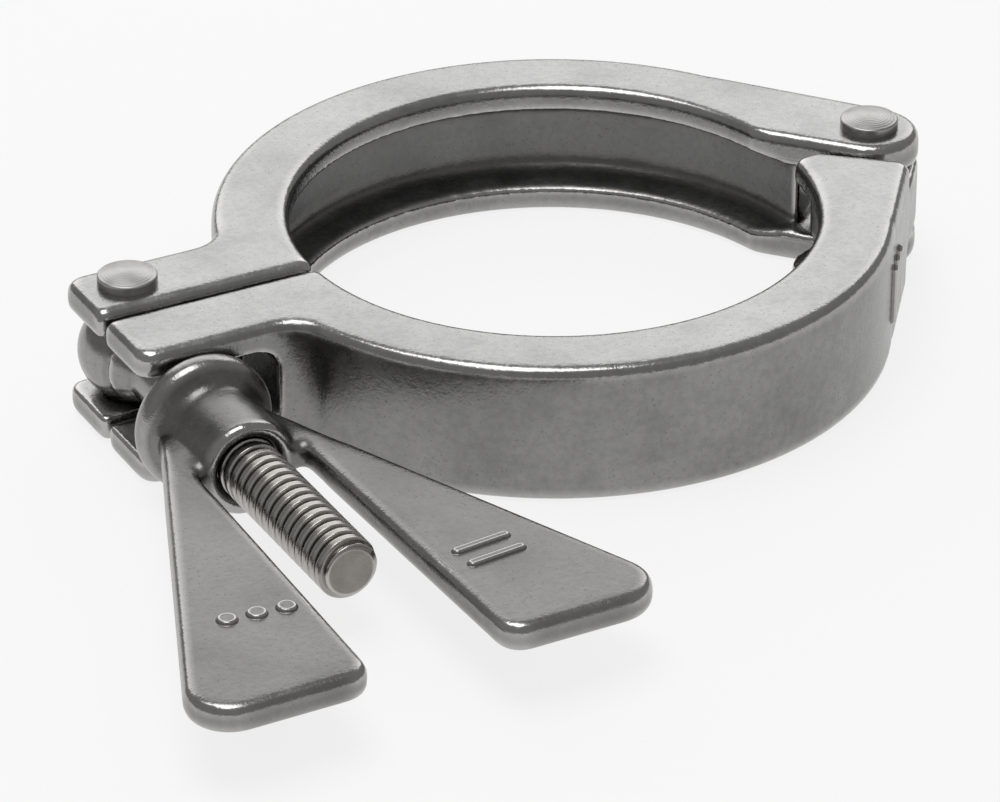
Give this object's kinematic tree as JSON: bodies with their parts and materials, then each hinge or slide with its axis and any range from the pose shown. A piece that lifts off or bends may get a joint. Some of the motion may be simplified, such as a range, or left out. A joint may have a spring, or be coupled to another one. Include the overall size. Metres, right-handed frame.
{
  "type": "sanitary hinged clamp",
  "caption": "Hinged ring clamp with a grooved bore for flanged sanitary ferrules, a swing eye bolt in an open fork and a long-winged wing nut.",
  "frame": {"origin": "centre of the lip bore, on the clamp's mid-plane", "axes": "+Z along the pipe axis, towards the pin heads; +X towards the hinge pin; the bolt points along -Y when closed"},
  "size_m": [0.1698, 0.1474, 0.0248],
  "materials": {
    "cast_steel": "electropolished cast stainless steel, fine grain",
    "pin_steel": "turned stainless steel",
    "bolt_steel": "machined stainless steel with a slight warm tint"
  },
  "bodies": {
    "far_half": {"far_half": "cast_steel", "hinge_pin": "pin_steel", "bolt_pin": "pin_steel"},
    "near_half": {"near_half": "cast_steel"},
    "eye_bolt": {"eye_bolt": "bolt_steel"},
    "wing_nut": {"wing_nut": "cast_steel"}
  },
  "joints": [
    {"name": "clamp_hinge", "type": "hinge", "parent": "far_half", "child": "near_half", "pos_m": [0.0572, 0, 0], "axis": [0, 0, 1], "range_deg": [0, 120]},
    {"name": "bolt_swing", "type": "hinge", "parent": "far_half", "child": "eye_bolt", "pos_m": [-0.0688, 0.008, 0], "axis": [0, 0, -1], "range_deg": [0, 160]},
    {"name": "nut_travel", "type": "slide", "parent": "eye_bolt", "child": "wing_nut", "axis": [0, -1, 0], "range_m": [0, 0.287]}
  ],
  "couplings": [
    {"joint": "nut_travel", "follows": "clamp_hinge", "m_per_rad": 0.137}
  ]
}
